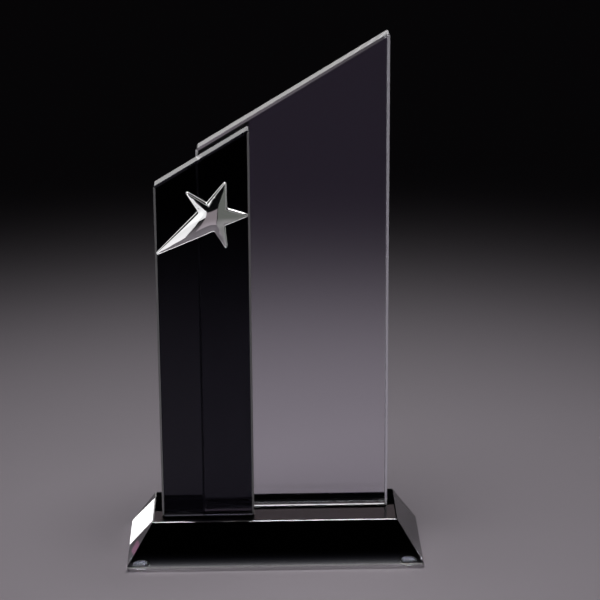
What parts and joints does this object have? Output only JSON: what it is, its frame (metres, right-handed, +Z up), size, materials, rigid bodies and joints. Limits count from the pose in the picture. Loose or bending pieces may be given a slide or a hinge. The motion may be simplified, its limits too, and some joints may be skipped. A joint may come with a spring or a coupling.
{
  "type": "crystal award",
  "caption": "Crystal award: a clear and a black slant-topped plate stand overlapped on a sloped black base with bumper feet, with a chrome shooting star on the black plate.",
  "frame": {"origin": "centre of the footprint, on the surface that the feet stand on", "axes": "+Z up, -Y towards the viewer (the star's side), +X to the viewer's right (the tall side)"},
  "size_m": [0.14, 0.054, 0.2508],
  "materials": {
    "black_crystal": "polished, smoked almost black",
    "clear_crystal": "polished, optically clear",
    "star_plating": "bright chrome plate on a cast star",
    "clear_rubber": "clear soft polyurethane, smooth",
    "uv_adhesive": "clear cured film",
    "foot_adhesive": "clear pressure-sensitive film",
    "foam_tape": "dark double-sided foam tape"
  },
  "bodies": {
    "root": {"base_block": "black_crystal", "foot_front_left": "clear_rubber", "foot_front_right": "clear_rubber", "foot_rear_left": "clear_rubber", "foot_rear_right": "clear_rubber", "foot_adhesive_discs": "foot_adhesive", "clear_plate": "clear_crystal", "black_plate": "black_crystal", "clear_plate_base_bond": "uv_adhesive", "black_plate_base_bond": "uv_adhesive", "plate_face_bond": "uv_adhesive", "star_medallion": "star_plating", "star_adhesive_pad": "foam_tape"}
  },
  "joints": []
}
